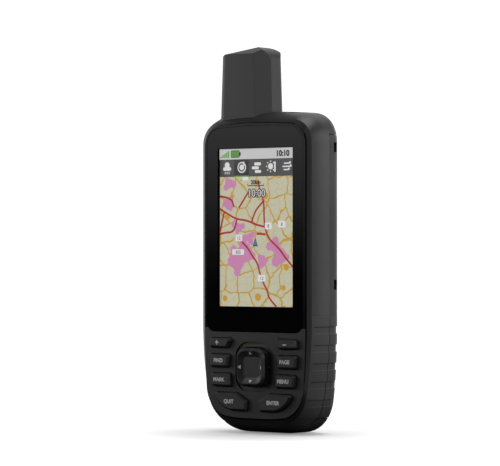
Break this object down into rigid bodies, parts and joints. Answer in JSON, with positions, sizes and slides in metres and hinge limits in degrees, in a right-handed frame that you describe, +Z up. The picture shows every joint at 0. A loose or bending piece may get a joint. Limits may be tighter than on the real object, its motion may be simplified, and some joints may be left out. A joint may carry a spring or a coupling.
{
  "type": "handheld gps unit",
  "caption": "Handheld satellite navigation unit: portrait display, keypad with four-way rocker, stub antenna, ribbed rubber grips and a latched battery door with a mounting rail.",
  "frame": {"origin": "centre of the flat foot, on the plane where the battery door meets the case", "axes": "+Z up, along the body towards the antenna; +Y from the display towards the battery door; +X to the display's right as seen by the user"},
  "size_m": [0.0608, 0.0354, 0.1599],
  "materials": {
    "housing_black": "fine matt grain",
    "frame_black": "fine matt grain",
    "door_black": "fine matt grain",
    "grip_rubber": "soft matt",
    "door_grip_rubber": "soft matt",
    "seal_rubber": "silicone",
    "lens_glass": "polished, black border",
    "adhesive": "foam tape",
    "lcd": "lit map",
    "backlight_white": "diffuser",
    "carrier_grey": "moulded",
    "ribbon_amber": "polyimide film",
    "keypad_rubber": "silicone",
    "dome_steel": "plain",
    "key_rubber": "satin",
    "rocker_rubber": "satin",
    "rocker_plastic": "moulded",
    "power_rubber": "satin",
    "switch_black": "moulded",
    "board_green": "solder mask",
    "shield_tin": "tinned",
    "chip_black": "epoxy",
    "buzzer_black": "moulded",
    "screw_steel": "bright",
    "spine_screw_steel": "blackened",
    "cell_jacket": "printed film",
    "cell_steel": "nickel",
    "contact_nickel": "nickel",
    "socket_steel": "tinned",
    "card_black": "plain",
    "spine_black": "fine matt grain",
    "latch_steel": "dark anodised",
    "cam_steel": "plain",
    "ring_steel": "satin",
    "usb_steel": "plain",
    "flap_rubber": "soft matt",
    "led_amber": "phosphor",
    "lamp_clear": "clear",
    "antenna_black": "fine matt grain",
    "antenna_board": "solder mask",
    "core_ceramic": "fired",
    "strip_copper": "plain"
  },
  "bodies": {
    "case": {"front_housing": "housing_black", "grip_front": "grip_rubber", "back_frame": "frame_black", "door_seal": "seal_rubber", "display_lens": "lens_glass", "lens_gasket": "adhesive", "lcd_panel": "lcd", "backlight": "backlight_white", "display_carrier": "carrier_grey", "display_ribbon": "ribbon_amber", "keypad_mat": "keypad_rubber", "switch_domes": "dome_steel", "main_board": "board_green", "shield_cans": "shield_tin", "chips": "chip_black", "buzzer": "buzzer_black", "power_switch": "switch_black", "board_screws": "screw_steel", "frame_screws": "screw_steel", "cell_left": "cell_jacket", "cell_right": "cell_jacket", "cell_ends": "cell_steel", "contact_plates": "contact_nickel", "contact_springs": "contact_nickel", "card_socket": "socket_steel", "memory_card": "card_black", "usb_socket": "usb_steel", "lamp_led": "led_amber", "lamp_lens": "lamp_clear", "antenna_cover": "antenna_black", "antenna_base": "antenna_board", "antenna_core": "core_ceramic", "antenna_strips": "strip_copper"},
    "door": {"battery_door": "door_black", "grip_door": "door_grip_rubber", "mount_spine": "spine_black", "spine_screws": "spine_screw_steel"},
    "latch": {"latch_core": "latch_steel", "latch_cam": "cam_steel", "latch_screw": "screw_steel"},
    "latch_bail": {"latch_ring": "ring_steel"},
    "gimbal": {"rocker_core": "rocker_plastic"},
    "rocker": {"rocker_pad": "rocker_rubber"},
    "power_button": {"power_key": "power_rubber"},
    "port_flap": {"usb_cap": "flap_rubber"},
    "zoom_in_button": {"key_zoom_in": "key_rubber"},
    "zoom_out_button": {"key_zoom_out": "key_rubber"},
    "find_button": {"key_find": "key_rubber"},
    "page_button": {"key_page": "key_rubber"},
    "mark_button": {"key_mark": "key_rubber"},
    "menu_button": {"key_menu": "key_rubber"},
    "quit_button": {"key_quit": "key_rubber"},
    "enter_button": {"key_enter": "key_rubber"}
  },
  "joints": [
    {"name": "zoom_in_press", "type": "slide", "parent": "case", "child": "zoom_in_button", "axis": [0, 1, 0], "range_m": [0, 0.0007], "stiffness_N_per_m": 900},
    {"name": "zoom_out_press", "type": "slide", "parent": "case", "child": "zoom_out_button", "axis": [0, 1, 0], "range_m": [0, 0.0007], "stiffness_N_per_m": 900},
    {"name": "find_press", "type": "slide", "parent": "case", "child": "find_button", "axis": [0, 1, 0], "range_m": [0, 0.0007], "stiffness_N_per_m": 900},
    {"name": "page_press", "type": "slide", "parent": "case", "child": "page_button", "axis": [0, 1, 0], "range_m": [0, 0.0007], "stiffness_N_per_m": 900},
    {"name": "mark_press", "type": "slide", "parent": "case", "child": "mark_button", "axis": [0, 1, 0], "range_m": [0, 0.0007], "stiffness_N_per_m": 900},
    {"name": "menu_press", "type": "slide", "parent": "case", "child": "menu_button", "axis": [0, 1, 0], "range_m": [0, 0.0007], "stiffness_N_per_m": 900},
    {"name": "quit_press", "type": "slide", "parent": "case", "child": "quit_button", "axis": [0, 1, 0], "range_m": [0, 0.0007], "stiffness_N_per_m": 900},
    {"name": "enter_press", "type": "slide", "parent": "case", "child": "enter_button", "axis": [0, 1, 0], "range_m": [0, 0.0007], "stiffness_N_per_m": 900},
    {"name": "power_press", "type": "slide", "parent": "case", "child": "power_button", "axis": [0, 0, -1], "range_m": [0, 0.0005], "stiffness_N_per_m": 900},
    {"name": "rocker_up_down", "type": "hinge", "parent": "case", "child": "gimbal", "pos_m": [0, -0.0102, 0.0274], "axis": [1, 0, 0], "range_deg": [-4, 4], "stiffness_Nm_per_rad": 0.05},
    {"name": "rocker_left_right", "type": "hinge", "parent": "gimbal", "child": "rocker", "pos_m": [0, -0.0102, 0.0274], "axis": [0, 0, 1], "range_deg": [-4, 4], "stiffness_Nm_per_rad": 0.05},
    {"name": "door_lift", "type": "slide", "parent": "case", "child": "door", "axis": [0, 1, 0], "range_m": [0, 0.03]},
    {"name": "latch_turn", "type": "hinge", "parent": "door", "child": "latch", "pos_m": [0, 0.012, 0.021], "axis": [0, 1, 0], "range_deg": [0, 90]},
    {"name": "bail_fold", "type": "hinge", "parent": "latch", "child": "latch_bail", "pos_m": [0, 0.0194, 0.021], "axis": [1, 0, 0], "range_deg": [0, 100]},
    {"name": "flap_open", "type": "hinge", "parent": "case", "child": "port_flap", "pos_m": [0.0006, 0.012, 0.1268], "axis": [0, 0, 1], "range_deg": [0, 90]}
  ]
}
